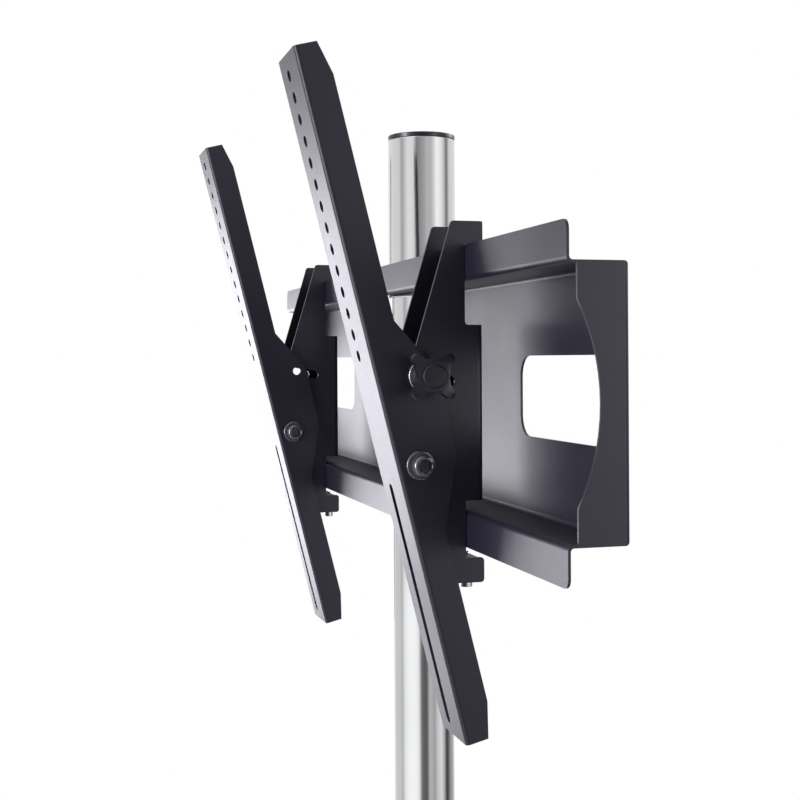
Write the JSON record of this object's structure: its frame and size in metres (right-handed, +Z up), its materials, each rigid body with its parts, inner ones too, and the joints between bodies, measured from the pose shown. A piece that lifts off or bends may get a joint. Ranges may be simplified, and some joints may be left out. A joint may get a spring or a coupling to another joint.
{
  "type": "screen stand",
  "caption": "Floor stand with a chrome column, a wide hook-on crossbeam and two tilting screen arms with a clamping hand knob.",
  "frame": {"origin": "middle of the base on the floor", "axes": "+Z up along the column, +X to the right along the crossbeam seen from the back of the stand looking towards the screen side, -Y towards the screen"},
  "size_m": [0.95, 0.56, 1.6287],
  "materials": {
    "powder_coat": "satin powder coat, charcoal",
    "chrome": "polished",
    "black_plastic": "matte, fine grain",
    "black_bolts": "black oxide, glossy",
    "zinc_bolts": "zinc plated",
    "brass": "turned",
    "rubber": "matte"
  },
  "bodies": {
    "stand": {"base_plate": "powder_coat", "base_glides": "rubber", "foot_flange": "powder_coat", "base_bolts": "black_bolts", "pole": "chrome", "top_sleeve": "chrome", "sleeve_cap": "black_plastic"},
    "carriage": {"beam": "powder_coat", "clamp_rear_plate": "powder_coat", "clamp_front_jaw": "powder_coat", "clamp_bolts": "black_bolts", "clamp_nuts": "black_bolts", "beam_bolts": "black_bolts", "beam_nuts": "black_bolts"},
    "hook_body_right": {"hook_right": "powder_coat", "pivot_bolt_right": "black_bolts", "pivot_washers_right": "black_bolts", "pivot_spacer_right": "zinc_bolts", "pivot_nut_right": "zinc_bolts", "safety_nut_right": "zinc_bolts"},
    "hook_body_left": {"hook_left": "powder_coat", "pivot_bolt_left": "black_bolts", "pivot_washers_left": "black_bolts", "pivot_spacer_left": "zinc_bolts", "pivot_nut_left": "zinc_bolts", "safety_nut_left": "zinc_bolts"},
    "safety_screw_body_right": {"safety_screw_right": "zinc_bolts"},
    "safety_screw_body_left": {"safety_screw_left": "zinc_bolts"},
    "arm_body_right": {"arm_right": "powder_coat", "tilt_bolt": "zinc_bolts", "knob_washer": "zinc_bolts"},
    "arm_body_left": {"arm_left": "powder_coat"},
    "knob_body": {"tilt_knob": "black_plastic", "knob_insert": "brass", "knob_cap": "black_plastic"}
  },
  "joints": [
    {"name": "mount_height", "type": "slide", "parent": "stand", "child": "carriage", "axis": [0, 0, 1], "range_m": [-0.45, 0.045]},
    {"name": "hook_slide_right", "type": "slide", "parent": "carriage", "child": "hook_body_right", "axis": [1, 0, 0], "range_m": [-0.17, 0.195]},
    {"name": "hook_slide_left", "type": "slide", "parent": "carriage", "child": "hook_body_left", "axis": [1, 0, 0], "range_m": [-0.17, 0.195]},
    {"name": "arm_tilt_right", "type": "hinge", "parent": "hook_body_right", "child": "arm_body_right", "pos_m": [0.2425, 0.0151, 1.2977], "axis": [1, 0, 0], "range_deg": [-17, 1]},
    {"name": "arm_tilt_left", "type": "hinge", "parent": "hook_body_left", "child": "arm_body_left", "pos_m": [-0.268, 0.0151, 1.2977], "axis": [1, 0, 0], "range_deg": [-17, 1]},
    {"name": "knob_turn", "type": "hinge", "parent": "arm_body_right", "child": "knob_body", "pos_m": [0.293, 0.01915, 1.36827], "axis": [1, 0, 0], "range_deg": [0, 360]},
    {"name": "safety_screw_slide_right", "type": "slide", "parent": "hook_body_right", "child": "safety_screw_body_right", "axis": [0, 0, 1], "range_m": [0, 0.012]},
    {"name": "safety_screw_slide_left", "type": "slide", "parent": "hook_body_left", "child": "safety_screw_body_left", "axis": [0, 0, 1], "range_m": [0, 0.012]}
  ]
}
